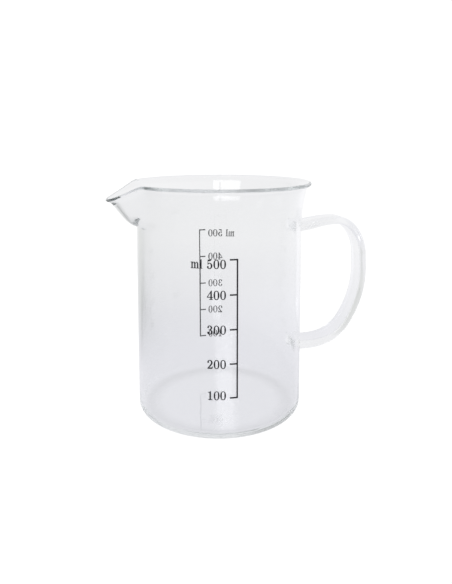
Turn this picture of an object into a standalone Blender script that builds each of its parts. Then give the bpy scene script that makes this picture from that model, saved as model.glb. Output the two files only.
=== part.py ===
"""Measuring beaker with a pouring spout and a handle, in clear glass with a fired black scale.

Everything is in metres, +Z up.  The origin is on the axis of the cup, at the face it stands on.
The handle leaves the cup towards +X and the spout points towards -X.
"""
import math

import bmesh
import bpy
from mathutils import Vector
from mathutils.geometry import interpolate_bezier

# ---- Driving dimensions of the cup -------------------------------------------------------------
HEIGHT = 0.1256  # bench to the top of the lip
BODY_RADIUS = 0.045  # outside of the straight wall
LIP_REACH = 0.005  # how far the lip stands out past the wall
WALL = 0.002
FLOOR = 0.003
HEEL_RADIUS = 0.004  # rounding between wall and base, outside
FLOOR_CORNER = 0.0025  # rounding between wall and floor, inside
NECK_LENGTH = 0.0256  # height of the flared stretch under the top of the lip
NECK_CURVE = 0.095  # radius of the flare, seen in section
LIP_HEIGHT = 0.0042  # how far under the top the lip begins to turn outwards
LIP_LEAN = math.radians(66)  # lean of the lip from upright at its edge
LIP_PULL = 0.45  # how far the lip keeps its direction at both its ends, in lip heights

# ---- Driving dimensions of the spout -----------------------------------------------------------
SPOUT_REACH = 0.0112  # how far the tip stands out past the lip
SPOUT_DIP = 0.0084  # how far the tip lies under the lip
SPOUT_LENGTH = 0.0228  # height of the pressed stretch under the top of the lip
SPOUT_HALF_ANGLE = math.radians(35)  # half of the stretch of wall that the channel is drawn from
SPOUT_ROUNDNESS = 4  # a higher power makes a narrower channel
DIP_HALF_ANGLE = math.radians(29)  # half of the stretch of lip that dips
DIP_ROUNDNESS = 2
SPOUT_SLOPE = 0.57  # under 1 the spout starts nearly level and steepens towards its tip

# ---- Driving dimensions of the handle ----------------------------------------------------------
STRAP_WIDTH = 0.013
STRAP_THICKNESS = 0.0043
STRAP_EDGE = 0.0016  # rounding of the strap's edges
HANDLE_REACH = 0.0388  # wall of the cup to the middle of the grip
HANDLE_TOP = 0.0996  # height of the upper weld
HANDLE_BOTTOM = 0.0312  # height of the lower weld
CREST_OUT = 0.0230  # wall to the top of the arch
CREST_RISE = 0.0027  # upper weld to the top of the arch
GRIP_DROP = 0.0178  # upper weld down to the grip's outermost point
ELBOW_OUT = 0.0303  # wall to the middle of the lower bend
ELBOW_RISE = 0.0121  # lower weld up to the middle of the lower bend
ELBOW_LEAN = math.radians(58)  # slope of the strap in the middle of the lower bend
FOOT_PULL = 0.0085  # how far the strap keeps its direction at a weld
CREST_PULL = (0.0118, 0.0090)  # the same at the arch, before and after
GRIP_PULL = (0.0093, 0.0062)  # at the grip
ELBOW_PULL = (0.0215, 0.0163)  # at the lower bend
FOOT_FLARE = 1.22  # how much the strap spreads at its welds
FOOT_DEPTH = 0.0003  # how far the corners of a foot start inside the wall's surface
WELD_GAP = 0.0003

# ---- Driving dimensions of the scale -----------------------------------------------------------
FIRST_MARK = 0.0226  # height of the 100 ml mark
MARK_STEP = 0.01724  # height of 100 ml in this bore
MARK_COUNT = 5
LINE_THICKNESS = 0.00075
MARK_LENGTH = 0.0037  # middle of the upright line to the free end of a mark
DIGIT_HEIGHT = 0.0044
DIGIT_WIDTH = 0.66  # cell of a digit in units of its height
DIGIT_GAP = 0.00028  # between neighbouring digits
NUMBER_GAP = 0.0018  # between the free end of a mark and its number
UNIT_GAP = 0.0020  # between the number and its unit
TOP_NUMBER_DROP = 0.0021  # the highest number hangs under its mark
LOW_NUMBER_RISE = 0.0013  # the lowest number stands a little over its mark
INK_GAP = 0.0003
INK_THICKNESS = 0.00025
FRONT_TURN = math.radians(-91.15)  # direction of the front scale's upright line from +X
BACK_TURN = math.radians(93.9)  # direction of the back scale's upright line from +X

# ---- Fineness of the round shapes --------------------------------------------------------------
CUP_STEPS = 84
ARC_STEPS = 4
EDGE_STEPS = 3  # pieces in each rounded edge of the strap
BEND_STEPS = 8  # pieces in each bend of the handle
STROKE_STEPS = 2  # pieces in each curved stretch of a numeral
CREASE = math.radians(40)  # an edge sharper than this stays crisp
STRAIGHT = math.radians(1)  # outline points that turn less than this are dropped
SEAM = 1e-6  # points nearer than this are one point

GLASS = ("clear_glass", (0.86, 0.90, 0.90), 0.04)
INK = ("black_enamel", (0.012, 0.012, 0.014), 0.35)

# Outlines of the characters in units of the digit height: baseline at 0, round points are True.
ZERO = (
    [(0.02, 0.49, True), (0.33, -0.02, True), (0.64, 0.49, True), (0.33, 1.0, True)],
    [(0.175, 0.49, True), (0.33, 0.94, True), (0.485, 0.49, True), (0.33, 0.04, True)],
)
ONE = (
    [
        (0.12, 0.0, False), (0.56, 0.0, False), (0.56, 0.05, False), (0.41, 0.08, False),
        (0.41, 1.0, False), (0.36, 1.0, False), (0.25, 0.915, True), (0.10, 0.90, False),
        (0.10, 0.85, False), (0.27, 0.86, False), (0.27, 0.08, False), (0.12, 0.05, False),
    ],
)
TWO = (
    [
        (0.05, 0.0, False), (0.58, 0.0, False), (0.63, 0.25, False), (0.58, 0.25, False),
        (0.53, 0.13, False), (0.21, 0.13, False), (0.44, 0.36, True), (0.60, 0.71, True),
        (0.33, 1.0, True), (0.04, 0.76, True), (0.13, 0.66, True), (0.215, 0.75, True),
        (0.18, 0.86, True), (0.30, 0.94, True), (0.445, 0.71, True), (0.32, 0.41, True),
        (0.05, 0.07, False),
    ],
)
THREE = (
    [
        (0.33, 1.0, True), (0.06, 0.80, True), (0.145, 0.71, True), (0.22, 0.80, True),
        (0.20, 0.89, True), (0.31, 0.94, True), (0.42, 0.76, True), (0.32, 0.565, True),
        (0.21, 0.55, False), (0.21, 0.50, False), (0.32, 0.49, True), (0.455, 0.265, True),
        (0.31, 0.04, True), (0.19, 0.11, True), (0.215, 0.20, True), (0.13, 0.30, True),
        (0.04, 0.20, True), (0.31, -0.02, True), (0.62, 0.26, True), (0.44, 0.525, False),
        (0.58, 0.765, True),
    ],
)
FOUR = (
    [
        (0.28, 0.0, False), (0.65, 0.0, False), (0.65, 0.05, False), (0.545, 0.08, False),
        (0.545, 0.235, False), (0.67, 0.235, False), (0.67, 0.30, False), (0.545, 0.30, False),
        (0.545, 1.0, False), (0.47, 1.0, False), (0.02, 0.31, False), (0.02, 0.235, False),
        (0.40, 0.235, False), (0.40, 0.08, False), (0.28, 0.05, False),
    ],
    [(0.40, 0.30, False), (0.09, 0.30, False), (0.40, 0.79, False)],
)
FIVE = (
    [
        (0.12, 1.0, False), (0.11, 0.46, False), (0.155, 0.46, False), (0.29, 0.585, True),
        (0.455, 0.31, True), (0.30, 0.04, True), (0.19, 0.11, True), (0.215, 0.20, True),
        (0.13, 0.295, True), (0.04, 0.19, True), (0.31, -0.02, True), (0.615, 0.31, True),
        (0.34, 0.65, True), (0.165, 0.57, False), (0.165, 0.86, False), (0.38, 0.86, True),
        (0.54, 1.0, False),
    ],
)
SMALL_M = (
    [
        (0.03, 0.0, False), (0.33, 0.0, False), (0.33, 0.045, False), (0.24, 0.06, False),
        (0.24, 0.47, False), (0.36, 0.645, True), (0.43, 0.50, False), (0.43, 0.06, False),
        (0.35, 0.045, False), (0.35, 0.0, False), (0.65, 0.0, False), (0.65, 0.045, False),
        (0.56, 0.06, False), (0.56, 0.47, False), (0.68, 0.645, True), (0.75, 0.50, False),
        (0.75, 0.06, False), (0.67, 0.045, False), (0.67, 0.0, False), (0.97, 0.0, False),
        (0.97, 0.045, False), (0.88, 0.06, False), (0.88, 0.52, False), (0.73, 0.72, True),
        (0.56, 0.59, False), (0.41, 0.72, True), (0.24, 0.59, False), (0.24, 0.72, False),
        (0.03, 0.69, False), (0.03, 0.645, False), (0.12, 0.62, False), (0.12, 0.06, False),
        (0.03, 0.045, False),
    ],
)
SMALL_L = (
    [
        (0.02, 0.0, False), (0.34, 0.0, False), (0.34, 0.045, False), (0.245, 0.06, False),
        (0.245, 1.0, False), (0.02, 0.97, False), (0.02, 0.925, False), (0.12, 0.90, False),
        (0.12, 0.06, False), (0.02, 0.045, False),
    ],
)
SHAPES = {"0": ZERO, "1": ONE, "2": TWO, "3": THREE, "4": FOUR, "5": FIVE, "m": SMALL_M, "l": SMALL_L}
UNIT_WIDTHS = {"m": 1.0, "l": 0.36}


# ---- Scene, collections and materials ----------------------------------------------------------
def clear_scene():
    for old in list(bpy.data.objects):
        bpy.data.objects.remove(old, do_unlink=True)


def new_collection(name):
    made = bpy.data.collections.new(name)
    bpy.context.scene.collection.children.link(made)
    return made


def new_material(name, color, roughness):
    made = bpy.data.materials.new(name)
    made.use_nodes = True
    shader = made.node_tree.nodes["Principled BSDF"]
    shader.inputs["Base Color"].default_value = (*color, 1.0)
    shader.inputs["Roughness"].default_value = roughness
    shader.inputs["Metallic"].default_value = 0.0
    return made


def to_mesh(source):
    """Turn a curve or a modified object into a closed mesh object of the same name and place."""
    home = source.users_collection[0]
    graph = bpy.context.evaluated_depsgraph_get()
    mesh = bpy.data.meshes.new_from_object(source.evaluated_get(graph))
    name, place = source.name, source.matrix_world.copy()
    bpy.data.objects.remove(source, do_unlink=True)
    made = bpy.data.objects.new(name, mesh)
    made.matrix_world = place
    home.objects.link(made)
    weld(mesh)
    return made


def as_cutter(made):
    made.hide_render = True
    made.display_type = "WIRE"
    return made


def weld(mesh):
    """Close the seams of a mesh and turn all its faces outwards."""
    shape = bmesh.new()
    shape.from_mesh(mesh)
    bmesh.ops.remove_doubles(shape, verts=shape.verts, dist=SEAM)
    bmesh.ops.recalc_face_normals(shape, faces=shape.faces)
    shape.to_mesh(mesh)
    shape.free()


def smooth(mesh):
    mesh.shade_smooth()
    mesh.set_sharp_from_angle(angle=CREASE)


# ---- Cup ---------------------------------------------------------------------------------------
def arc(centre_x, centre_z, radius, start, end, steps=ARC_STEPS):
    turns = (start + (end - start) * i / steps for i in range(steps + 1))
    return [Vector((centre_x + radius * math.cos(t), centre_z + radius * math.sin(t))) for t in turns]


def neck_line():
    """Middle of the wall from the start of the flare to the edge of the lip, as (radius, height)."""
    middle = BODY_RADIUS - WALL / 2
    start = HEIGHT - NECK_LENGTH
    lean = math.asin((NECK_LENGTH - LIP_HEIGHT) / NECK_CURVE)
    flare = arc(middle + NECK_CURVE, start, NECK_CURVE, math.pi, math.pi - lean, 2 * ARC_STEPS)
    edge = Vector((BODY_RADIUS + LIP_REACH - WALL / 2, HEIGHT - WALL / 2))
    reach = LIP_HEIGHT * LIP_PULL
    leave = flare[-1] + Vector((math.sin(lean), math.cos(lean))) * reach
    arrive = edge - Vector((math.sin(LIP_LEAN), math.cos(LIP_LEAN))) * reach
    return flare[:-1] + interpolate_bezier(flare[-1], leave, arrive, edge, ARC_STEPS + 1)


def beside(line, distance):
    """The line moved sideways, outwards where distance is positive."""
    made = []
    for i, point in enumerate(line):
        run = line[min(i + 1, len(line) - 1)] - line[max(i - 1, 0)]
        made.append(point + Vector((run.y, -run.x)).normalized() * distance)
    return made


def cup_section():
    """Half of the cup's section, from the middle of the floor up the inside and down the outside."""
    middle = neck_line()
    inside, outside = beside(middle, -WALL / 2), beside(middle, WALL / 2)
    run = middle[-1] - middle[-2]
    lean = math.atan2(run.x, run.y)
    edge = arc(middle[-1].x, middle[-1].y, WALL / 2, math.pi - lean, -lean, ARC_STEPS)
    bore = BODY_RADIUS - WALL
    corner = arc(bore - FLOOR_CORNER, FLOOR + FLOOR_CORNER, FLOOR_CORNER, -math.pi / 2, 0)
    heel = arc(BODY_RADIUS - HEEL_RADIUS, HEEL_RADIUS, HEEL_RADIUS, 0, -math.pi / 2)
    ends = Vector((0, FLOOR)), Vector((0, 0))
    return [ends[0], *corner, *inside[:-1], *edge, *reversed(outside[:-1]), *heel, ends[1]]


def wall_radius(height):
    """Outside radius of the turned wall at a height below the lip."""
    rise = height - (HEIGHT - NECK_LENGTH)
    if rise <= 0:
        return BODY_RADIUS
    curve = NECK_CURVE - WALL / 2
    return BODY_RADIUS + curve - math.sqrt(curve * curve - rise * rise)


def turned(name, points, home):
    """Solid of revolution round the Z axis, from a section that runs down its outer side."""
    section = bpy.data.meshes.new(name)
    edges = [(i, i + 1) for i in range(len(points) - 1)]
    section.from_pydata([(point.x, 0.0, point.y) for point in points], edges, [])
    made = bpy.data.objects.new(name, section)
    home.objects.link(made)
    screw = made.modifiers.new("turn", "SCREW")
    screw.steps = screw.render_steps = CUP_STEPS
    screw.use_merge_vertices = True
    screw.merge_threshold = SEAM
    return to_mesh(made)


def swell(turn, half_angle, roundness):
    """1 in the middle of the spout, falling smoothly to 0 at half_angle to either side."""
    away = min(abs(turn) / half_angle, 1.0)
    return (1 - away * away) ** roundness


def press_spout(mesh):
    """Draw the wall around -X outwards and down, more and more towards the lip."""
    start = HEIGHT - SPOUT_LENGTH
    for vert in mesh.vertices:
        height = (vert.co.z - start) / SPOUT_LENGTH
        if height <= 0:
            continue
        turn = math.atan2(vert.co.y, -vert.co.x)
        pressed = height**SPOUT_SLOPE
        out = SPOUT_REACH * pressed * swell(turn, SPOUT_HALF_ANGLE, SPOUT_ROUNDNESS)
        vert.co.xy += vert.co.xy.normalized() * out
        vert.co.z -= SPOUT_DIP * pressed * swell(turn, DIP_HALF_ANGLE, DIP_ROUNDNESS)


def make_cup(home, finish):
    cup = turned("vessel", cup_section(), home)
    cup.data.materials.append(finish)
    press_spout(cup.data)
    smooth(cup.data)


# ---- Handle ------------------------------------------------------------------------------------
def handle_points():
    """Middle of the strap from the upper weld to the lower one: place, handle before, handle after."""
    half_foot = STRAP_WIDTH * FOOT_FLARE / 2
    root = math.sqrt(BODY_RADIUS**2 - half_foot**2) - FOOT_DEPTH
    top, bottom = Vector((root, 0, HANDLE_TOP)), Vector((root, 0, HANDLE_BOTTOM))
    crest = Vector((BODY_RADIUS + CREST_OUT, 0, HANDLE_TOP + CREST_RISE))
    grip = Vector((BODY_RADIUS + HANDLE_REACH, 0, HANDLE_TOP - GRIP_DROP))
    elbow = Vector((BODY_RADIUS + ELBOW_OUT, 0, HANDLE_BOTTOM + ELBOW_RISE))
    out, up = Vector((1, 0, 0)), Vector((0, 0, 1))
    slope = Vector((math.cos(ELBOW_LEAN), 0, math.sin(ELBOW_LEAN)))
    return (
        (top, top - out * FOOT_PULL, top + out * FOOT_PULL),
        (crest, crest - out * CREST_PULL[0], crest + out * CREST_PULL[1]),
        (grip, grip + up * GRIP_PULL[0], grip - up * GRIP_PULL[1]),
        (elbow, elbow + slope * ELBOW_PULL[0], elbow - slope * ELBOW_PULL[1]),
        (bottom, bottom + out * FOOT_PULL, bottom - out * FOOT_PULL),
    )


def strap_section(home):
    """Rounded rectangle that is swept along the handle's middle line."""
    data = bpy.data.curves.new("strap_section", "CURVE")
    data.dimensions = "2D"
    outline = data.splines.new("POLY")
    wide, deep = STRAP_WIDTH / 2 - STRAP_EDGE, STRAP_THICKNESS / 2 - STRAP_EDGE
    points = []
    for quarter, (x, y) in enumerate(((wide, deep), (-wide, deep), (-wide, -deep), (wide, -deep))):
        points += arc(x, y, STRAP_EDGE, quarter * math.pi / 2, (quarter + 1) * math.pi / 2, EDGE_STEPS)
    outline.points.add(len(points) - 1)
    for made, point in zip(outline.points, points):
        made.co = (point.x, point.y, 0, 1)
    outline.use_cyclic_u = True
    made = bpy.data.objects.new("strap_section", data)
    home.objects.link(made)
    return as_cutter(made)


def make_wall_cutter(home):
    """Solid of the cup's outside with the weld gap, which shapes the feet of the handle."""
    outside = beside(neck_line(), WALL / 2 + WELD_GAP)
    ends = Vector((0, HEIGHT)), Vector((BODY_RADIUS + WELD_GAP, 0)), Vector((0, 0))
    return as_cutter(turned("wall_cutter", [ends[0], *reversed(outside), *ends[1:]], home))


def make_handle(home, cutters, finish):
    data = bpy.data.curves.new("handle", "CURVE")
    data.dimensions = "3D"
    data.twist_mode = "MINIMUM"
    data.resolution_u = BEND_STEPS
    data.bevel_mode = "OBJECT"
    data.bevel_object = strap_section(cutters)
    data.use_fill_caps = True
    line = data.splines.new("BEZIER")
    points = handle_points()
    line.bezier_points.add(len(points) - 1)
    for made, (place, before, after) in zip(line.bezier_points, points):
        made.handle_left_type = made.handle_right_type = "FREE"
        made.co = place
        made.handle_left = before
        made.handle_right = after
    line.bezier_points[0].radius = line.bezier_points[-1].radius = FOOT_FLARE
    swept = bpy.data.objects.new("handle", data)
    home.objects.link(swept)
    handle = to_mesh(swept)
    handle.data.materials.append(finish)
    cut = handle.modifiers.new("fit_to_wall", "BOOLEAN")
    cut.operation = "DIFFERENCE"
    cut.object = make_wall_cutter(cutters)
    smooth(handle.data)


# ---- Scale -------------------------------------------------------------------------------------
def wrap_on_wall(mesh, turn):
    """Bend a flat film, drawn in XY with its front at the larger Z, round the cup's outside."""
    for vert in mesh.vertices:
        radius = wall_radius(vert.co.y) + INK_GAP + vert.co.z
        angle = turn + vert.co.x / BODY_RADIUS
        vert.co = (radius * math.cos(angle), radius * math.sin(angle), vert.co.y)


def flat_film(name, outlines, home, scale=1.0, offset=(0.0, 0.0)):
    """Thin plate with the given outlines, lying in XY with its back at zero height."""
    data = bpy.data.curves.new(name, "CURVE")
    data.dimensions = "2D"
    data.fill_mode = "BOTH"
    data.extrude = INK_THICKNESS / 2
    data.resolution_u = STROKE_STEPS
    for outline in outlines:
        loop = data.splines.new("BEZIER")
        loop.use_cyclic_u = True
        loop.bezier_points.add(len(outline) - 1)
        for made, (x, y, is_round) in zip(loop.bezier_points, outline):
            made.co = (x * scale + offset[0], y * scale + offset[1], 0)
            made.handle_left_type = made.handle_right_type = "AUTO" if is_round else "VECTOR"
    drawn = bpy.data.objects.new(name, data)
    home.objects.link(drawn)
    film = to_mesh(drawn)
    shape = bmesh.new()
    shape.from_mesh(film.data)
    bmesh.ops.dissolve_limit(shape, angle_limit=STRAIGHT, verts=shape.verts, edges=shape.edges)
    bmesh.ops.triangulate(shape, faces=shape.faces)
    bmesh.ops.translate(shape, verts=shape.verts, vec=(0, 0, INK_THICKNESS / 2))
    shape.to_mesh(film.data)
    shape.free()
    return film


def mark_heights():
    return [FIRST_MARK + MARK_STEP * i for i in range(MARK_COUNT)]


def scale_outline():
    """Upright line with its marks pointing left, as one closed outline."""
    half = LINE_THICKNESS / 2
    heights = mark_heights()
    points = [(half, heights[0] - half), (half, heights[-1] + half)]
    for height in reversed(heights):
        points += [(-MARK_LENGTH, height + half), (-MARK_LENGTH, height - half)]
        if height > heights[0]:
            points += [(-half, height - half), (-half, height - MARK_STEP + half)]
    return [(x, y, False) for x, y in points]


def number_drop(index):
    """How far the middle of a number lies under its mark."""
    if index == MARK_COUNT - 1:
        return TOP_NUMBER_DROP
    if index == 0:
        return -LOW_NUMBER_RISE
    return 0.0


def make_scale(side, turn, home, finish):
    """One printed scale: the line with its marks, and each character beside it."""
    films = [flat_film(side + "_scale_line", [scale_outline()], home)]
    pitch = DIGIT_HEIGHT * DIGIT_WIDTH + DIGIT_GAP
    for index, height in enumerate(mark_heights()):
        number = str((index + 1) * 100)
        base = height - number_drop(index) - DIGIT_HEIGHT / 2
        left = DIGIT_GAP - MARK_LENGTH - NUMBER_GAP - pitch * len(number)
        for place, digit in enumerate(number):
            name = f"{side}_{number}_digit_{place + 1}"
            spot = (left + pitch * place, base)
            films.append(flat_film(name, SHAPES[digit], home, DIGIT_HEIGHT, spot))
    unit_left = left - UNIT_GAP - DIGIT_HEIGHT * sum(UNIT_WIDTHS.values())
    for letter, width in UNIT_WIDTHS.items():
        name = f"{side}_unit_{letter}"
        films.append(flat_film(name, SHAPES[letter], home, DIGIT_HEIGHT, (unit_left, base)))
        unit_left += DIGIT_HEIGHT * width
    for film in films:
        wrap_on_wall(film.data, turn)
        film.data.materials.append(finish)
        smooth(film.data)


def main():
    clear_scene()
    parts = new_collection("measuring_beaker")
    cutters = new_collection("cutters")
    glass = new_material(*GLASS)
    ink = new_material(*INK)
    make_cup(parts, glass)
    make_handle(parts, cutters, glass)
    make_scale("front", FRONT_TURN, parts, ink)
    make_scale("back", BACK_TURN, parts, ink)


main()
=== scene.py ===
import math

import bmesh
import bpy
from mathutils import Matrix, Vector
from mathutils.geometry import interpolate_bezier


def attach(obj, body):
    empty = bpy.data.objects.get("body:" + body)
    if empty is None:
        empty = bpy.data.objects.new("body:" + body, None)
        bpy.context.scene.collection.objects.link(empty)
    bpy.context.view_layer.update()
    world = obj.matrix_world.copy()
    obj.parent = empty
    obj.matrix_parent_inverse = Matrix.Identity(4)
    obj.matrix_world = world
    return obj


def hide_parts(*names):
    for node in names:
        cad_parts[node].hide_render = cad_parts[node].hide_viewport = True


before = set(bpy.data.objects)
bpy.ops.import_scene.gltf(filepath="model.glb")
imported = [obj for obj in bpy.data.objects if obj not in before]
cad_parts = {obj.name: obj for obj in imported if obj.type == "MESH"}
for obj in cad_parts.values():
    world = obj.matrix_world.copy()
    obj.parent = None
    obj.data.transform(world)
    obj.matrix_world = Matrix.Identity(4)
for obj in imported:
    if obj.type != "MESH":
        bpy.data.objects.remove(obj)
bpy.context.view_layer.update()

# The glass measuring beaker: metres, +Z up, handle towards +X, spout towards -X, base at Z = 0.

# ---- Sizes of the cup --------------------------------------------------------------------------
HEIGHT = 0.1256
BODY_RADIUS = 0.045
WALL = 0.002
FLOOR = 0.003
HEEL_RADIUS = 0.004
FLOOR_CORNER = 0.0025
NECK_LENGTH = 0.0256
NECK_CURVE = 0.095
LIP_HEIGHT = 0.0042
LIP_LEAN = math.radians(66)
SPOUT_REACH = 0.0112
SPOUT_DIP = 0.0084
SPOUT_LENGTH = 0.0228
SPOUT_HALF_ANGLE = math.radians(35)
SPOUT_ROUNDNESS = 4
DIP_HALF_ANGLE = math.radians(29)
DIP_ROUNDNESS = 2
SPOUT_SLOPE = 0.57
SPOUT_EASE = 0.06
CORNER_STEPS = 8
NECK_STEPS = 40
LIP_STEPS = 9
EDGE_STEPS = 12
HEEL_STEPS = 10
CUP_STEPS = 240
SHARP_EDGE = math.radians(22)  # bends of the glass over this stay sharp in the shading
NEAR_BEND = 0.0004  # a ring this close to each bend keeps the flats flat

# ---- Sizes of the handle -----------------------------------------------------------------------
STRAP_WIDTH = 0.013
STRAP_THICKNESS = 0.0043
STRAP_EDGE = 0.0016
HANDLE_REACH = 0.0388
HANDLE_TOP = 0.0996
HANDLE_BOTTOM = 0.0312
CREST_OUT = 0.0230
CREST_RISE = 0.0027
GRIP_DROP = 0.0178
ELBOW_OUT = 0.0303
ELBOW_RISE = 0.0121
ELBOW_LEAN = math.radians(58)
FOOT_PULL = 0.0085
CREST_PULL = (0.0118, 0.0090)
GRIP_PULL = (0.0093, 0.0062)
ELBOW_PULL = (0.0215, 0.0163)
FOOT_FLARE = 1.22
FOOT_DEPTH = 0.0008  # how deep the foot melts into the wall
FILLET = 0.0016  # radius of the melted glass round each foot
FILLET_START = 0.00015
FOOT_WRAP = 0.009  # over this length the strap takes up the wall's curve
BEND_STEPS = 60
STRAP_EDGE_STEPS = 10

# ---- Sizes of the scale ------------------------------------------------------------------------
FIRST_MARK = 0.0226
MARK_STEP = 0.01724
MARK_COUNT = 5
LINE_THICKNESS = 0.00075
MARK_LENGTH = 0.0037
DIGIT_HEIGHT = 0.0044
DIGIT_WIDTH = 0.66
DIGIT_GAP = 0.00028
NUMBER_GAP = 0.0018
UNIT_GAP = 0.0020
TOP_NUMBER_DROP = 0.0021
LOW_NUMBER_RISE = 0.0013
FRONT_TURN = math.radians(-91.15)
BACK_TURN = math.radians(93.9)
INK_GAP = 0.00001
INK_THICKNESS = 0.00006
INK_SPREAD = 0.00006
INK_PITCH = 0.0007  # width of the flat facets that the print is bent in
INK_CURVE_STEPS = 6
INK_BACK = -0.5  # faces turned towards the axis by more than this are the print's back

# Characters in units of the digit height: (across, up, is a round point).
ZERO = (
    [(0.02, 0.49, True), (0.33, -0.02, True), (0.64, 0.49, True), (0.33, 1.0, True)],
    [(0.175, 0.49, True), (0.33, 0.94, True), (0.485, 0.49, True), (0.33, 0.04, True)],
)
ONE = (
    [
        (0.12, 0.0, False), (0.56, 0.0, False), (0.56, 0.05, False), (0.41, 0.08, False),
        (0.41, 1.0, False), (0.36, 1.0, False), (0.25, 0.915, True), (0.10, 0.90, False),
        (0.10, 0.85, False), (0.27, 0.86, False), (0.27, 0.08, False), (0.12, 0.05, False),
    ],
)
TWO = (
    [
        (0.05, 0.0, False), (0.58, 0.0, False), (0.63, 0.25, False), (0.58, 0.25, False),
        (0.53, 0.13, False), (0.21, 0.13, False), (0.44, 0.36, True), (0.60, 0.71, True),
        (0.33, 1.0, True), (0.04, 0.76, True), (0.13, 0.66, True), (0.215, 0.75, True),
        (0.18, 0.86, True), (0.30, 0.94, True), (0.445, 0.71, True), (0.32, 0.41, True),
        (0.05, 0.07, False),
    ],
)
THREE = (
    [
        (0.33, 1.0, True), (0.06, 0.80, True), (0.145, 0.71, True), (0.22, 0.80, True),
        (0.20, 0.89, True), (0.31, 0.94, True), (0.42, 0.76, True), (0.32, 0.565, True),
        (0.21, 0.55, False), (0.21, 0.50, False), (0.32, 0.49, True), (0.455, 0.265, True),
        (0.31, 0.04, True), (0.19, 0.11, True), (0.215, 0.20, True), (0.13, 0.30, True),
        (0.04, 0.20, True), (0.31, -0.02, True), (0.62, 0.26, True), (0.44, 0.525, False),
        (0.58, 0.765, True),
    ],
)
FOUR = (
    [
        (0.28, 0.0, False), (0.65, 0.0, False), (0.65, 0.05, False), (0.545, 0.08, False),
        (0.545, 0.235, False), (0.67, 0.235, False), (0.67, 0.30, False), (0.545, 0.30, False),
        (0.545, 1.0, False), (0.47, 1.0, False), (0.02, 0.31, False), (0.02, 0.235, False),
        (0.40, 0.235, False), (0.40, 0.08, False), (0.28, 0.05, False),
    ],
    [(0.40, 0.30, False), (0.09, 0.30, False), (0.40, 0.79, False)],
)
FIVE = (
    [
        (0.12, 1.0, False), (0.11, 0.46, False), (0.155, 0.46, False), (0.29, 0.585, True),
        (0.455, 0.31, True), (0.30, 0.04, True), (0.19, 0.11, True), (0.215, 0.20, True),
        (0.13, 0.295, True), (0.04, 0.19, True), (0.31, -0.02, True), (0.615, 0.31, True),
        (0.34, 0.65, True), (0.165, 0.57, False), (0.165, 0.86, False), (0.38, 0.86, True),
        (0.54, 1.0, False),
    ],
)
SMALL_M = (
    [
        (0.03, 0.0, False), (0.33, 0.0, False), (0.33, 0.045, False), (0.24, 0.06, False),
        (0.24, 0.47, False), (0.36, 0.645, True), (0.43, 0.50, False), (0.43, 0.06, False),
        (0.35, 0.045, False), (0.35, 0.0, False), (0.65, 0.0, False), (0.65, 0.045, False),
        (0.56, 0.06, False), (0.56, 0.47, False), (0.68, 0.645, True), (0.75, 0.50, False),
        (0.75, 0.06, False), (0.67, 0.045, False), (0.67, 0.0, False), (0.97, 0.0, False),
        (0.97, 0.045, False), (0.88, 0.06, False), (0.88, 0.52, False), (0.73, 0.72, True),
        (0.56, 0.59, False), (0.41, 0.72, True), (0.24, 0.59, False), (0.24, 0.72, False),
        (0.03, 0.69, False), (0.03, 0.645, False), (0.12, 0.62, False), (0.12, 0.06, False),
        (0.03, 0.045, False),
    ],
)
SMALL_L = (
    [
        (0.02, 0.0, False), (0.34, 0.0, False), (0.34, 0.045, False), (0.245, 0.06, False),
        (0.245, 1.0, False), (0.02, 0.97, False), (0.02, 0.925, False), (0.12, 0.90, False),
        (0.12, 0.06, False), (0.02, 0.045, False),
    ],
)
SHAPES = {"0": ZERO, "1": ONE, "2": TWO, "3": THREE, "4": FOUR, "5": FIVE, "m": SMALL_M, "l": SMALL_L}
UNIT_WIDTHS = {"m": 1.0, "l": 0.36}


# ---- Helpers -----------------------------------------------------------------------------------
def finished(name, shape):
    """Turn a bmesh into a mesh object at the origin."""
    mesh = bpy.data.meshes.new(name)
    shape.to_mesh(mesh)
    shape.free()
    made = bpy.data.objects.new(name, mesh)
    bpy.context.scene.collection.objects.link(made)
    return made


def tidy(shape):
    bmesh.ops.remove_doubles(shape, verts=shape.verts, dist=1e-6)
    bmesh.ops.recalc_face_normals(shape, faces=shape.faces)


def baked(source, name):
    """Mesh object with the modifiers of source applied, in its place."""
    graph = bpy.context.evaluated_depsgraph_get()
    mesh = bpy.data.meshes.new_from_object(source.evaluated_get(graph))
    bpy.data.objects.remove(source, do_unlink=True)
    mesh.name = name
    made = bpy.data.objects.new(name, mesh)
    bpy.context.scene.collection.objects.link(made)
    return made


# ---- The cup -----------------------------------------------------------------------------------
def draw_to(shape, tip, across, up):
    """Straight stretch of the section, with a ring close to each of its ends."""
    begin, end = tip.co.copy(), Vector((across, 0, up))
    run = (end - begin).normalized() * NEAR_BEND
    for place in (begin + run, end - run, end):
        tip = bmesh.ops.extrude_vert_indiv(shape, verts=[tip])["verts"][0]
        tip.co = place
    return tip


def draw_arc(shape, tip, across, up, angle, steps):
    """Bend of the section round a centre, clockwise where the angle is positive."""
    made = bmesh.ops.spin(
        shape, geom=[tip], cent=(across, 0, up), axis=(0, 1, 0), angle=angle, steps=steps, dvec=(0, 0, 0)
    )
    return next(v for v in made["geom_last"] if isinstance(v, bmesh.types.BMVert))


def swell(turn, half_angle, roundness):
    away = min(abs(turn) / half_angle, 1.0)
    return (1 - away * away) ** roundness


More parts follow.
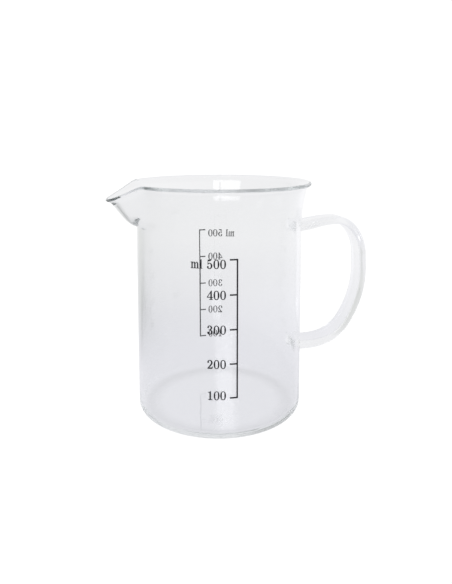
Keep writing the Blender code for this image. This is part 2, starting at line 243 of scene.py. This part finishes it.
def press_spout(shape):
    """Draw the wall around -X outwards and down, more and more towards the lip."""
    start = HEIGHT - SPOUT_LENGTH
    for vert in shape.verts:
        height = (vert.co.z - start) / SPOUT_LENGTH
        if height <= 0:
            continue
        turn = math.atan2(vert.co.y, -vert.co.x)
        pressed = (height * height * (1 + SPOUT_EASE) / (height + SPOUT_EASE)) ** SPOUT_SLOPE
        out = SPOUT_REACH * pressed * swell(turn, SPOUT_HALF_ANGLE, SPOUT_ROUNDNESS)
        vert.co.xy += vert.co.xy.normalized() * out
        vert.co.z -= SPOUT_DIP * pressed * swell(turn, DIP_HALF_ANGLE, DIP_ROUNDNESS)


def blow_cup():
    """Section drawn up the inside, over the lip and down the outside, then turned round the axis."""
    shape = bmesh.new()
    middle = BODY_RADIUS - WALL / 2
    bore = BODY_RADIUS - WALL
    start = HEIGHT - NECK_LENGTH
    lean = math.asin((NECK_LENGTH - LIP_HEIGHT) / NECK_CURVE)
    lip_curve = (LIP_HEIGHT - WALL / 2) / (math.sin(LIP_LEAN) - math.sin(lean))
    neck = Vector((middle + NECK_CURVE, start))
    lip = neck + Vector((-math.cos(lean), math.sin(lean))) * (NECK_CURVE - lip_curve)
    edge = lip + Vector((-math.cos(LIP_LEAN), math.sin(LIP_LEAN))) * lip_curve
    tip = bmesh.ops.create_vert(shape, co=(0, 0, FLOOR))["vert"][0]
    tip = draw_to(shape, tip, bore - FLOOR_CORNER, FLOOR)
    tip = draw_arc(shape, tip, bore - FLOOR_CORNER, FLOOR + FLOOR_CORNER, -math.pi / 2, CORNER_STEPS)
    tip = draw_to(shape, tip, bore, start)
    tip = draw_arc(shape, tip, *neck, lean, NECK_STEPS)
    tip = draw_arc(shape, tip, *lip, LIP_LEAN - lean, LIP_STEPS)
    tip = draw_arc(shape, tip, *edge, math.pi, EDGE_STEPS)
    tip = draw_arc(shape, tip, *lip, lean - LIP_LEAN, LIP_STEPS)
    tip = draw_arc(shape, tip, *neck, -lean, NECK_STEPS)
    tip = draw_to(shape, tip, BODY_RADIUS, HEEL_RADIUS)
    tip = draw_arc(shape, tip, BODY_RADIUS - HEEL_RADIUS, HEEL_RADIUS, math.pi / 2, HEEL_STEPS)
    draw_to(shape, tip, 0, 0)
    bmesh.ops.spin(
        shape, geom=shape.verts[:] + shape.edges[:], cent=(0, 0, 0), axis=(0, 0, 1), angle=math.tau,
        steps=CUP_STEPS, use_merge=True, dvec=(0, 0, 0),
    )
    press_spout(shape)
    tidy(shape)
    return finished("cup", shape)


# ---- The handle --------------------------------------------------------------------------------
def handle_points():
    """Middle of the strap from the upper weld to the lower one: place, pull before, pull after."""
    root = BODY_RADIUS - FOOT_DEPTH
    top, bottom = Vector((root, 0, HANDLE_TOP)), Vector((root, 0, HANDLE_BOTTOM))
    crest = Vector((BODY_RADIUS + CREST_OUT, 0, HANDLE_TOP + CREST_RISE))
    grip = Vector((BODY_RADIUS + HANDLE_REACH, 0, HANDLE_TOP - GRIP_DROP))
    elbow = Vector((BODY_RADIUS + ELBOW_OUT, 0, HANDLE_BOTTOM + ELBOW_RISE))
    out, up = Vector((1, 0, 0)), Vector((0, 0, 1))
    slope = Vector((math.cos(ELBOW_LEAN), 0, math.sin(ELBOW_LEAN)))
    return (
        (top, top - out * FOOT_PULL, top + out * FOOT_PULL),
        (crest, crest - out * CREST_PULL[0], crest + out * CREST_PULL[1]),
        (grip, grip + up * GRIP_PULL[0], grip - up * GRIP_PULL[1]),
        (elbow, elbow + slope * ELBOW_PULL[0], elbow - slope * ELBOW_PULL[1]),
        (bottom, bottom + out * FOOT_PULL, bottom - out * FOOT_PULL),
    )


def handle_line():
    """Places along the middle of the strap, each with how much the strap is spread there."""
    points = handle_points()
    last = len(points) - 2
    line = []
    for i, (here, after) in enumerate(zip(points, points[1:])):
        run = interpolate_bezier(here[0], here[2], after[1], after[0], BEND_STEPS + 1)
        for k, place in enumerate(run[:-1] if i < last else run):
            along = k / BEND_STEPS
            away = along if i == 0 else 1 - along if i == last else 1.0
            line.append((place, FOOT_FLARE + (1 - FOOT_FLARE) * away))
    return line


def melt(distance):
    """How far the glass stands out sideways at this distance from the wall."""
    inner = FILLET - FILLET_START - max(distance, 0.0)
    return FILLET - math.sqrt(FILLET * FILLET - max(inner, 0.0) ** 2)


def strap_matrix(line, i):
    """Place, direction and spread of the strap's section at a point of the line."""
    place, spread = line[i]
    run = line[min(i + 1, len(line) - 1)][0] - line[max(i - 1, 0)][0]
    turn = Vector((0, 0, 1)).rotation_difference(run.normalized()).to_matrix().to_4x4()
    skirt = melt(place.x - BODY_RADIUS)
    wide = spread + skirt / (STRAP_WIDTH / 2)
    deep = spread + skirt / (STRAP_THICKNESS / 2)
    return Matrix.Translation(place) @ turn @ Matrix.Diagonal((deep, wide, 1, 1))


def draw_handle():
    """A rounded strap pushed along its line, its feet wrapped onto the wall."""
    shape = bmesh.new()
    bmesh.ops.create_grid(shape, x_segments=1, y_segments=1, size=0.5)
    bmesh.ops.scale(shape, vec=(STRAP_THICKNESS, STRAP_WIDTH, 1), verts=shape.verts)
    bmesh.ops.bevel(
        shape, geom=shape.verts[:], offset=STRAP_EDGE, offset_type="OFFSET", affect="VERTICES",
        segments=STRAP_EDGE_STEPS, profile=0.5, material=-1,
    )
    line = handle_line()
    bmesh.ops.transform(shape, matrix=strap_matrix(line, 0), verts=shape.verts)
    front = shape.faces[:]
    wraps = {vert: 1.0 for vert in shape.verts}
    for i in range(1, len(line)):
        step = strap_matrix(line, i) @ strap_matrix(line, i - 1).inverted()
        made = bmesh.ops.extrude_face_region(shape, geom=front)["geom"]
        if i > 1:
            bmesh.ops.delete(shape, geom=front, context="FACES_ONLY")
        front = [part for part in made if isinstance(part, bmesh.types.BMFace)]
        moved = [part for part in made if isinstance(part, bmesh.types.BMVert)]
        bmesh.ops.transform(shape, matrix=step, verts=moved)
        near = 1 - min(max(line[i][0].x - BODY_RADIUS, 0.0) / FOOT_WRAP, 1.0)
        wraps.update({vert: near * near * (3 - 2 * near) for vert in moved})
    for vert, share in wraps.items():
        vert.co.x += (math.sqrt(BODY_RADIUS**2 - vert.co.y**2) - BODY_RADIUS) * share
    tidy(shape)
    return finished("handle_strap", shape)


def weld_on(cup, handle):
    """Melt the handle into the cup, so that both are one piece of glass."""
    melted = cup.modifiers.new("weld", "BOOLEAN")
    melted.operation = "UNION"
    melted.solver = "EXACT"
    melted.object = handle
    glass = baked(cup, "glass_beaker")
    bpy.data.objects.remove(handle, do_unlink=True)
    glass.data.shade_smooth()
    glass.data.set_sharp_from_angle(angle=SHARP_EDGE)
    return glass


# ---- The scales --------------------------------------------------------------------------------
def print_on_wall(name, outlines, turn, bleed=0.0):
    """A thin film with the given closed outlines, run out by the bleed and bent round the wall."""
    data = bpy.data.curves.new(name, "CURVE")
    data.dimensions = "2D"
    data.fill_mode = "BOTH"
    data.extrude = INK_THICKNESS / 2
    data.resolution_u = INK_CURVE_STEPS
    data.offset = bleed
    for outline in outlines:
        loop = data.splines.new("BEZIER")
        loop.use_cyclic_u = True
        loop.bezier_points.add(len(outline) - 1)
        for made, (x, y, is_round) in zip(loop.bezier_points, outline):
            made.co = (x, y, 0)
            made.handle_left_type = made.handle_right_type = "AUTO" if is_round else "VECTOR"
    drawn = bpy.data.objects.new(name, data)
    bpy.context.scene.collection.objects.link(drawn)
    film = baked(drawn, name)
    shape = bmesh.new()
    shape.from_mesh(film.data)
    bmesh.ops.remove_doubles(shape, verts=shape.verts, dist=1e-7)
    left = min(vert.co.x for vert in shape.verts)
    right = max(vert.co.x for vert in shape.verts)
    for k in range(1, int((right - left) / INK_PITCH) + 1):
        bmesh.ops.bisect_plane(
            shape, geom=shape.verts[:] + shape.edges[:] + shape.faces[:],
            plane_co=(left + k * INK_PITCH, 0, 0), plane_no=(1, 0, 0), dist=1e-7,
        )
    for vert in shape.verts:
        radius = BODY_RADIUS + INK_GAP + INK_THICKNESS / 2 + vert.co.z
        angle = turn + vert.co.x / BODY_RADIUS
        vert.co = (radius * math.cos(angle), radius * math.sin(angle), vert.co.y)
    bmesh.ops.recalc_face_normals(shape, faces=shape.faces)
    for face in shape.faces:
        middle = face.calc_center_median()
        inward = face.normal.x * middle.x + face.normal.y * middle.y < INK_BACK * middle.xy.length
        face.material_index = 1 if inward else 0
    shape.to_mesh(film.data)
    shape.free()
    return film


def scale_outline():
    """Upright line with its marks pointing left, as one closed outline."""
    half = LINE_THICKNESS / 2
    heights = [FIRST_MARK + MARK_STEP * i for i in range(MARK_COUNT)]
    points = [(half, heights[0] - half), (half, heights[-1] + half)]
    for height in reversed(heights):
        points += [(-MARK_LENGTH, height + half), (-MARK_LENGTH, height - half)]
        if height > heights[0]:
            points += [(-half, height - half), (-half, height - MARK_STEP + half)]
    return [(x, y, False) for x, y in points]


def letter(character, left, base):
    return [
        [(x * DIGIT_HEIGHT + left, y * DIGIT_HEIGHT + base, is_round) for x, y, is_round in outline]
        for outline in SHAPES[character]
    ]


def print_scale(side, turn, enamel):
    """One fired scale: its line, five numbers and the unit."""
    films = [(print_on_wall(side + "_line", [scale_outline()], turn), [side + "_scale_line"])]
    pitch = DIGIT_HEIGHT * DIGIT_WIDTH + DIGIT_GAP
    left = DIGIT_GAP - MARK_LENGTH - NUMBER_GAP - pitch * 3
    for index in range(MARK_COUNT):
        number = str((index + 1) * 100)
        drop = TOP_NUMBER_DROP if index == MARK_COUNT - 1 else -LOW_NUMBER_RISE if index == 0 else 0.0
        base = FIRST_MARK + MARK_STEP * index - drop - DIGIT_HEIGHT / 2
        outlines = []
        for place, digit in enumerate(number):
            outlines += letter(digit, left + pitch * place, base)
        nodes = [f"{side}_{number}_digit_{place + 1}" for place in range(len(number))]
        films.append((print_on_wall(f"{side}_number_{number}", outlines, turn, INK_SPREAD), nodes))
    unit_left = left - UNIT_GAP - DIGIT_HEIGHT * sum(UNIT_WIDTHS.values())
    outlines = []
    for character, width in UNIT_WIDTHS.items():
        outlines += letter(character, unit_left, base)
        unit_left += DIGIT_HEIGHT * width
    nodes = [f"{side}_unit_{character}" for character in UNIT_WIDTHS]
    films.append((print_on_wall(side + "_unit", outlines, turn, INK_SPREAD), nodes))
    for film, nodes in films:
        film.data.materials.clear()
        for finish in enamel:
            film.data.materials.append(finish)
        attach(film, "root")
        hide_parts(*nodes)


# ---- Finishes ----------------------------------------------------------------------------------
GLASS_COLOR = (0.972, 0.975, 0.978, 1)
GLASS_DEPTH_COLOR = (0.30, 0.36, 0.36, 1)
SMEAR_SIZE = 0.018
SMEAR_ROUGHNESS = 0.035
DRAW_LINE_SIZE = 0.012
DRAW_LINE_DEPTH = 0.00006
BLOTCH_SIZE = 0.0012
GRAIN_SIZE = 0.00018
GRAIN_DEPTH = 0.00002


def new_finish(name):
    made = bpy.data.materials.new(name)
    made.use_nodes = True
    tree = made.node_tree
    return made, tree, tree.nodes["Principled BSDF"]


def noise(tree, size, detail, stretch=(1, 1, 1)):
    """Noise over the object's own coordinates, with features of about this size in metres."""
    place = tree.nodes.new("ShaderNodeTexCoord")
    stretched = tree.nodes.new("ShaderNodeMapping")
    stretched.inputs["Scale"].default_value = stretch
    pattern = tree.nodes.new("ShaderNodeTexNoise")
    pattern.inputs["Scale"].default_value = 1 / size
    pattern.inputs["Detail"].default_value = detail
    tree.links.new(place.outputs["Object"], stretched.inputs["Vector"])
    tree.links.new(stretched.outputs["Vector"], pattern.inputs["Vector"])
    return pattern.outputs["Fac"]


def spread(tree, value, low, high, to_low, to_high):
    ramp = tree.nodes.new("ShaderNodeMapRange")
    for socket, number in zip(("From Min", "From Max", "To Min", "To Max"), (low, high, to_low, to_high)):
        ramp.inputs[socket].default_value = number
    tree.links.new(value, ramp.inputs["Value"])
    return ramp.outputs["Result"]


def bumped(tree, height, shader, distance):
    bump = tree.nodes.new("ShaderNodeBump")
    bump.inputs["Distance"].default_value = distance
    bump.inputs["Strength"].default_value = 1.0
    tree.links.new(height, bump.inputs["Height"])
    tree.links.new(bump.outputs["Normal"], shader.inputs["Normal"])


def blown_glass():
    made, tree, shader = new_finish("blown_glass")
    shader.inputs["Base Color"].default_value = GLASS_COLOR
    shader.inputs["Transmission Weight"].default_value = 1.0
    shader.inputs["IOR"].default_value = 1.473
    smears = noise(tree, SMEAR_SIZE, 3)
    tree.links.new(spread(tree, smears, 0.45, 0.8, 0.0, SMEAR_ROUGHNESS), shader.inputs["Roughness"])
    draw_lines = noise(tree, DRAW_LINE_SIZE, 2, (1, 1, 0.18))
    bumped(tree, draw_lines, shader, DRAW_LINE_DEPTH)
    depth = tree.nodes.new("ShaderNodeVolumeAbsorption")
    depth.inputs["Color"].default_value = GLASS_DEPTH_COLOR
    depth.inputs["Density"].default_value = 2.0
    tree.links.new(depth.outputs["Volume"], tree.nodes["Material Output"].inputs["Volume"])
    return made


def fired_enamel(name, dark, light, rough):
    made, tree, shader = new_finish(name)
    shader.inputs["Specular IOR Level"].default_value = 0.2
    blotches = noise(tree, BLOTCH_SIZE, 4)
    mix = tree.nodes.new("ShaderNodeMix")
    mix.data_type = "RGBA"
    mix.inputs["A"].default_value = (*dark, 1)
    mix.inputs["B"].default_value = (*light, 1)
    tree.links.new(spread(tree, blotches, 0.35, 0.7, 0.0, 1.0), mix.inputs["Factor"])
    tree.links.new(mix.outputs["Result"], shader.inputs["Base Color"])
    grains = noise(tree, GRAIN_SIZE, 2)
    tree.links.new(spread(tree, grains, 0.3, 0.7, rough - 0.08, rough + 0.1), shader.inputs["Roughness"])
    bumped(tree, grains, shader, GRAIN_DEPTH)
    return made


# ---- The studio --------------------------------------------------------------------------------
CAMERA_PLACE = Vector((-0.0661, -0.3030, 0.1508))
CAMERA_TURN = math.radians(-13.0)
CAMERA_PITCH = math.radians(6.57)
LENS = 35.02
LENS_SHIFT = -0.1575


def set_camera():
    data = bpy.data.cameras.new("camera")
    data.sensor_width = 36
    data.lens = LENS
    data.shift_y = LENS_SHIFT
    data.clip_start = 0.01
    data.clip_end = 20
    camera = bpy.data.objects.new("camera", data)
    camera.location = CAMERA_PLACE
    camera.rotation_euler = (math.pi / 2 - CAMERA_PITCH, 0, CAMERA_TURN)
    bpy.context.scene.collection.objects.link(camera)
    bpy.context.scene.camera = camera


# Light that the glass takes from all round it, fixed in the room: from the side of the main view over
# the right, the back and the left. Looked at directly, table and walls are plain white.
WHITE = (1.05, 1.05, 1.05)
WALLS = (
    (0.0, (0.76, 0.76, 0.77)), (0.06, (0.88, 0.88, 0.89)), (0.14, (0.96, 0.96, 0.97)),
    (0.25, (1.0, 1.0, 1.02)), (0.38, (0.98, 0.98, 1.0)), (0.5, (0.90, 0.90, 0.905)),
    (0.565, (0.90, 0.90, 0.905)), (0.585, (0.78, 0.785, 0.78)), (0.63, (0.72, 0.73, 0.72)),
    (0.65, (0.47, 0.48, 0.47)), (0.80, (0.40, 0.41, 0.41)), (0.94, (0.65, 0.65, 0.66)),
    (1.0, (0.76, 0.76, 0.77)),
)
CEILING = (0.90, 0.90, 0.92)
CEILING_START = (0.25, 0.9)
# Painted light of the table under the beaker, where it gives way to that of the walls, and the painted
# shade that dims it towards the beaker.
TABLE = (0.80, 0.80, 0.838)
TABLE_EDGE = (0.08, 0.22)
TABLE_PAINTED_SHADE = (
    (0.0, (0.905, 0.905, 0.928)), (0.05, (0.905, 0.905, 0.928)),
    (0.5, (1.0, 1.0, 1.0)), (2.0, (1.0, 1.0, 1.0)),
)
TABLE_RADIUS = 2.0
TABLE_DROP = -0.0004
# Painted shadow: a darker ring painted into the table's glow under the edge of the flat base, by distance
# from the axis, seen only through the glass.
PAINTED_CONTACT_SHADOW = ((0.0, 1.0), (0.0384, 1.0), (0.0398, 0.70), (0.0411, 0.64), (0.0428, 1.0), (2.0, 1.0))
# A painted pool of light: a brighter fan painted into the table's glow, by turn and by distance from the
# axis; the glass shows it as a bright streak low on its body.
PAINTED_LIGHT_FAN_TURN = math.radians(6.5)
PAINTED_LIGHT_FAN_START = 0.020
PAINTED_LIGHT_FAN = ((0.0, 0.0), (0.466, 0.0), (0.476, 1.3), (0.524, 1.0), (0.534, 0.0), (1.0, 0.0))
PAINTED_LIGHT_FAN_REACH = ((0.0, 0.0), (0.048, 0.0), (0.058, 1.0), (0.17, 1.0), (0.26, 0.0), (2.0, 0.0))
PANE_AIM = (0, 0, 0.1)
PANE_HEIGHT = 0.8
LIGHT_TURNS = 1000


def color_stops(tree, value, stops):
    ramp = tree.nodes.new("ShaderNodeValToRGB")
    ramp.color_ramp.elements[0].position = stops[0][0]
    ramp.color_ramp.elements[1].position = stops[-1][0]
    for position, color in stops[1:-1]:
        ramp.color_ramp.elements.new(position)
    for element, (position, color) in zip(ramp.color_ramp.elements, stops):
        element.color = (*color, 1)
    tree.links.new(value, ramp.inputs["Fac"])
    return ramp.outputs["Color"]


def blended(tree, first, second, share):
    """Mix of two colours, each of them a plain one or the output of a node."""
    mix = tree.nodes.new("ShaderNodeMix")
    mix.data_type = "RGBA"
    for socket, color in (("A", first), ("B", second)):
        if isinstance(color, tuple):
            mix.inputs[socket].default_value = (*color, 1)
        else:
            tree.links.new(color, mix.inputs[socket])
    tree.links.new(share, mix.inputs["Factor"])
    return mix.outputs["Result"]


def round_about(tree, place, turn, start=0.0):
    """Share of a full turn round the axis, counted from where the turn begins."""
    turned = tree.nodes.new("ShaderNodeMapping")
    turned.inputs["Rotation"].default_value = (0, 0, turn)
    turned.inputs["Location"].default_value = (-start, 0, 0)
    around = tree.nodes.new("ShaderNodeTexGradient")
    around.gradient_type = "RADIAL"
    tree.links.new(place, turned.inputs["Vector"])
    tree.links.new(turned.outputs["Vector"], around.inputs["Vector"])
    return around.outputs["Fac"]


def cut_out(tree, color):
    """The colour that the glass takes from its surroundings, and white where looked at directly."""
    path = tree.nodes.new("ShaderNodeLightPath")
    return blended(tree, color, WHITE, path.outputs["Is Camera Ray"])


def by_distance(tree, share, stops):
    """Steps of grey or colour over the table, each given with its distance from the axis."""
    steps = []
    for at, light in stops:
        steps.append((at / TABLE_RADIUS, light if isinstance(light, tuple) else (light,) * 3))
    return color_stops(tree, share, steps)


def multiplied(tree, first, second):
    product = tree.nodes.new("ShaderNodeVectorMath")
    product.operation = "MULTIPLY"
    tree.links.new(first, product.inputs[0])
    tree.links.new(second, product.inputs[1])
    return product.outputs["Vector"]


def lay_floor():
    shape = bmesh.new()
    bmesh.ops.create_circle(shape, cap_ends=True, segments=96, radius=TABLE_RADIUS)
    bmesh.ops.translate(shape, vec=(0, 0, TABLE_DROP), verts=shape.verts)
    floor = finished("floor", shape)
    # The table is no lamp but glows, and its near-black base takes no real shadow from the lamps. Looked
    # at directly it is plain white. Through the glass its glow is painted light: the walls' light by
    # turn, painted shade towards the beaker, a painted contact shadow and a painted pool of light.
    made, tree, shader = new_finish("pale_table_painted_light")
    shader.inputs["Base Color"].default_value = (0.02, 0.02, 0.02, 1)
    shader.inputs["Roughness"].default_value = 0.9
    shader.inputs["Specular IOR Level"].default_value = 0.0
    place = tree.nodes.new("ShaderNodeTexCoord").outputs["Object"]
    away = tree.nodes.new("ShaderNodeVectorMath")
    away.operation = "LENGTH"
    tree.links.new(place, away.inputs[0])
    share = spread(tree, away.outputs["Value"], 0, TABLE_RADIUS, 0, 1)
    walls = color_stops(tree, round_about(tree, place, -math.pi / 2 - CAMERA_TURN), WALLS)
    # painted shade: the walls' light on the table dimmed towards the beaker
    walls_with_painted_shade = multiplied(tree, walls, by_distance(tree, share, TABLE_PAINTED_SHADE))
    table = blended(tree, TABLE, walls_with_painted_shade, spread(tree, away.outputs["Value"], *TABLE_EDGE, 0, 1))
    # painted contact shadow: a darker ring under the edge of the base
    shaded = multiplied(tree, table, by_distance(tree, share, PAINTED_CONTACT_SHADOW))
    tree.links.new(cut_out(tree, shaded), shader.inputs["Emission Color"])
    # painted pool of light: a brighter fan added to the table's glow strength
    painted_light_fan = color_stops(
        tree, round_about(tree, place, math.pi / 2 - CAMERA_TURN - PAINTED_LIGHT_FAN_TURN, PAINTED_LIGHT_FAN_START),
        [(at, (light,) * 3) for at, light in PAINTED_LIGHT_FAN],
    )
    painted_light_strength = tree.nodes.new("ShaderNodeMath")
    painted_light_strength.operation = "MULTIPLY_ADD"
    painted_light_strength.inputs[2].default_value = 1.0
    tree.links.new(painted_light_fan, painted_light_strength.inputs[0])
    tree.links.new(by_distance(tree, share, PAINTED_LIGHT_FAN_REACH), painted_light_strength.inputs[1])
    tree.links.new(painted_light_strength.outputs["Value"], shader.inputs["Emission Strength"])
    floor.data.materials.append(made)


def light_room():
    """Bright to the right and behind, dim to the left and a little dimmer in front and overhead."""
    world = bpy.data.worlds.new("room")
    bpy.context.scene.world = world
    world.use_nodes = True
    tree = world.node_tree
    light = tree.nodes["Background"]
    place = tree.nodes.new("ShaderNodeTexCoord").outputs["Generated"]
    walls = color_stops(tree, round_about(tree, place, -math.pi / 2 - CAMERA_TURN), WALLS)
    height = tree.nodes.new("ShaderNodeSeparateXYZ")
    tree.links.new(place, height.inputs["Vector"])
    room = blended(tree, walls, CEILING, spread(tree, height.outputs["Z"], *CEILING_START, 0, 1))
    tree.links.new(cut_out(tree, room), light.inputs["Color"])
    light.inputs["Strength"].default_value = 1.0


def hang_light(name, place, aim, width, height, power):
    data = bpy.data.lights.new(name, "AREA")
    data.shape = "RECTANGLE"
    data.size = width
    data.size_y = height
    data.energy = power
    lamp = bpy.data.objects.new(name, data)
    lamp.visible_camera = False
    lamp.location = place
    lamp.rotation_euler = (Vector(aim) - Vector(place)).to_track_quat("-Z", "Y").to_euler()
    bpy.context.scene.collection.objects.link(lamp)


def on_camera_side(azimuth, elevation, distance):
    """A place in the room: azimuth in degrees from the camera's own side, positive to its right."""
    turn = math.radians(azimuth) + CAMERA_TURN
    flat = distance * math.cos(math.radians(elevation))
    return (math.sin(turn) * flat, -math.cos(turn) * flat, distance * math.sin(math.radians(elevation)))


def follow_light(turns):
    """Let light run this many times to and fro inside the glass before it is given up."""
    paths = bpy.context.scene.cycles
    paths.max_bounces = turns
    paths.glossy_bounces = turns
    paths.transmission_bounces = turns
    paths.denoising_input_passes = "RGB"


glass = weld_on(blow_cup(), draw_handle())
glass.data.materials.clear()
glass.data.materials.append(blown_glass())
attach(glass, "root")
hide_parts("vessel", "handle")
enamel = (
    fired_enamel("black_enamel", (0.004, 0.004, 0.006), (0.014, 0.014, 0.018), 0.38),
    fired_enamel("enamel_underside", (0.24, 0.25, 0.25), (0.34, 0.35, 0.35), 0.5),
)
print_scale("front", FRONT_TURN, enamel)
print_scale("back", BACK_TURN, enamel)

set_camera()
lay_floor()
light_room()
hang_light("wide_pane", on_camera_side(-17, 30, 1.2), PANE_AIM, 0.58, PANE_HEIGHT, 2.7)
hang_light("narrow_pane", on_camera_side(5.5, 30, 1.2), PANE_AIM, 0.18, PANE_HEIGHT, 0.85)
bpy.context.scene.view_settings.view_transform = "Standard"
follow_light(LIGHT_TURNS)
